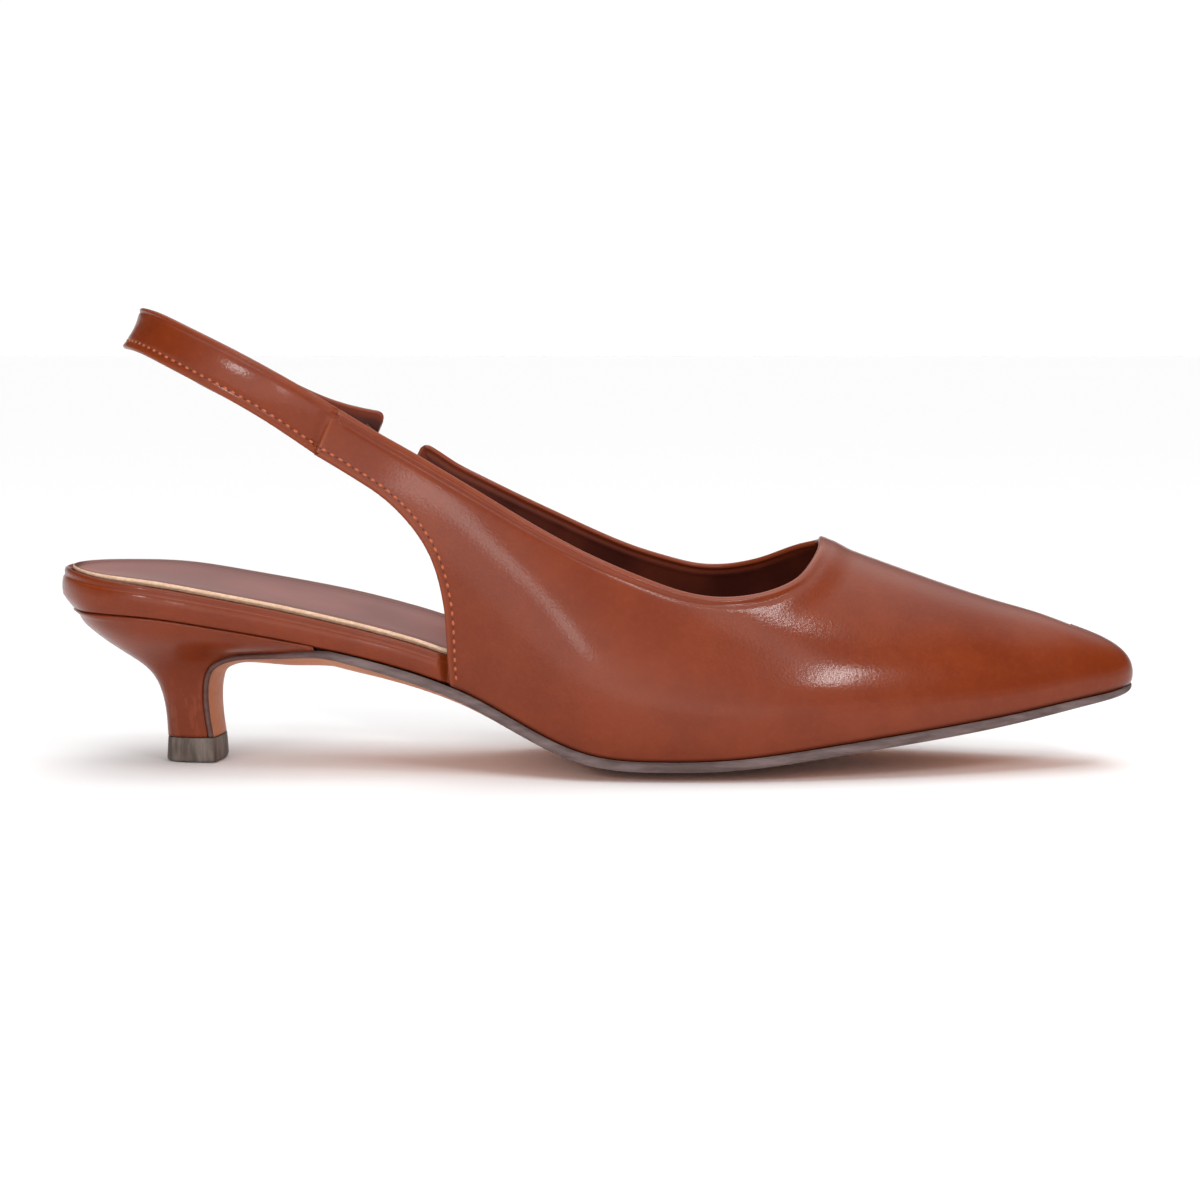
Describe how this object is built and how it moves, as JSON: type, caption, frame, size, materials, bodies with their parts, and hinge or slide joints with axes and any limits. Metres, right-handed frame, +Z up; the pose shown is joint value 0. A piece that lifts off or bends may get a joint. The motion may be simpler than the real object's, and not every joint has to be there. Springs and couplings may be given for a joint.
{
  "type": "kitten heel pump",
  "caption": "Right-foot slingback kitten heel pump: pointed closed toe, open heel seat, strap round the back of the ankle, low curved covered heel, thin sole.",
  "frame": {"origin": "middle of the heel's top piece, on the floor, with the shoe standing as worn", "axes": "+X towards the toe, +Y towards the inner side of the foot, +Z up"},
  "size_m": [0.2593, 0.0748, 0.1096],
  "materials": {
    "upper_leather": "smooth cognac brown, soft gloss",
    "elastic_fabric": "ribbed elastic, matt",
    "sock_leather": "dull mauve brown lining with a cream edge",
    "footbed_leather": "smooth cognac brown, soft gloss",
    "sole_leather": "tan underside with a dark painted edge",
    "heel_leather": "smooth cognac brown, soft gloss",
    "top_piece_rubber": "streaked grey brown, matt"
  },
  "bodies": {
    "root": {"upper": "upper_leather", "sling_strap": "upper_leather", "elastic_gore": "elastic_fabric", "sock": "sock_leather", "footbed": "footbed_leather", "outsole": "sole_leather", "heel": "heel_leather", "heel_lift": "top_piece_rubber"}
  },
  "joints": []
}
